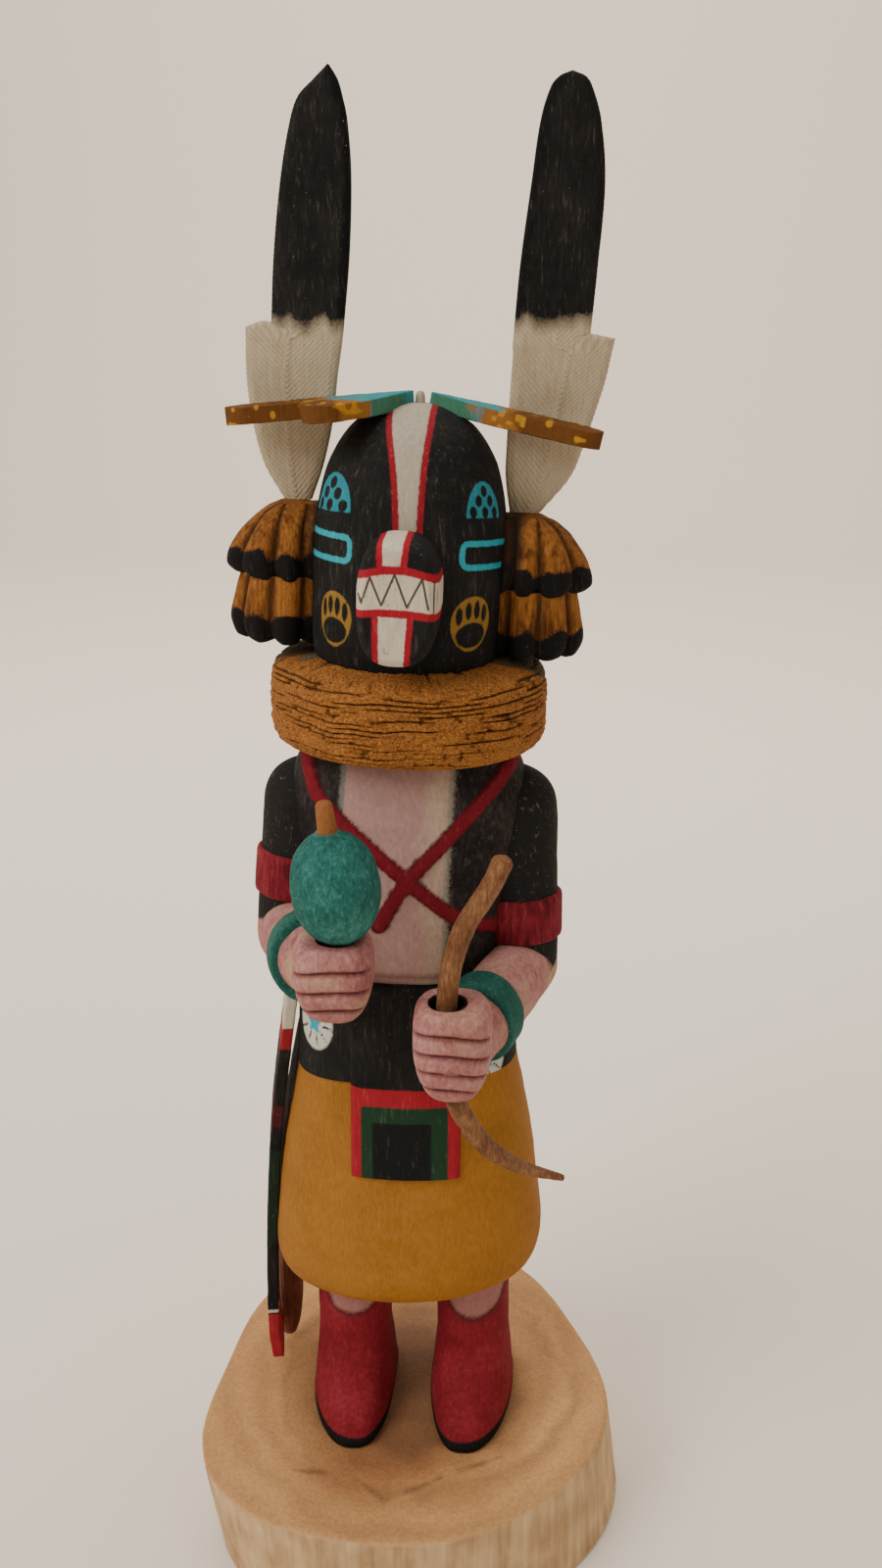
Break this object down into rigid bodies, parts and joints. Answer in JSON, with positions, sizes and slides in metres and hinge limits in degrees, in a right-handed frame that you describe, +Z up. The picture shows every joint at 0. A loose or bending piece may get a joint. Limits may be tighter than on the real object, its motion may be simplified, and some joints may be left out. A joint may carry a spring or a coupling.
{
  "type": "carved kachina doll",
  "caption": "Carved and painted wooden doll with a case mask, ruff, kilt, boots, feathers, gourd rattle and bow, standing on a live-edge slice of wood",
  "frame": {"origin": "middle of the base's underside, at the bottom centre of the bounding box", "axes": "+Z up along the figure's height, -Y the way that the doll faces, +X the doll's own left"},
  "size_m": [0.0938, 0.0966, 0.3007],
  "materials": {
    "base": "bare live-edge slice, sanded top and grained side",
    "figure": "matte paint on carved wood: black, ochre, pink, red, teal and white",
    "snout": "matte paint, white bars with red edges on black",
    "tuft": "matte brown paint with black tips",
    "tall_feather": "matte black above and dusty white below",
    "crown_feather": "matte turquoise and green paint with ochre stippled ends",
    "rattle": "matte teal paint with a bare wood nub",
    "bow": "bare bent twig",
    "sash": "matte paint in bands of black, red, green and white",
    "pelt": "matte mauve-brown paint"
  },
  "bodies": {
    "root": {"base": "base", "figure": "figure", "snout": "snout", "ear_tuft_right": "tuft", "ear_tuft_left": "tuft", "tall_feather_right": "tall_feather", "tall_feather_left": "tall_feather", "crown_feather_right": "crown_feather", "crown_feather_front": "crown_feather", "crown_feather_left": "crown_feather", "rattle": "rattle", "bow": "bow", "side_sash": "sash", "fox_pelt": "pelt"}
  },
  "joints": []
}
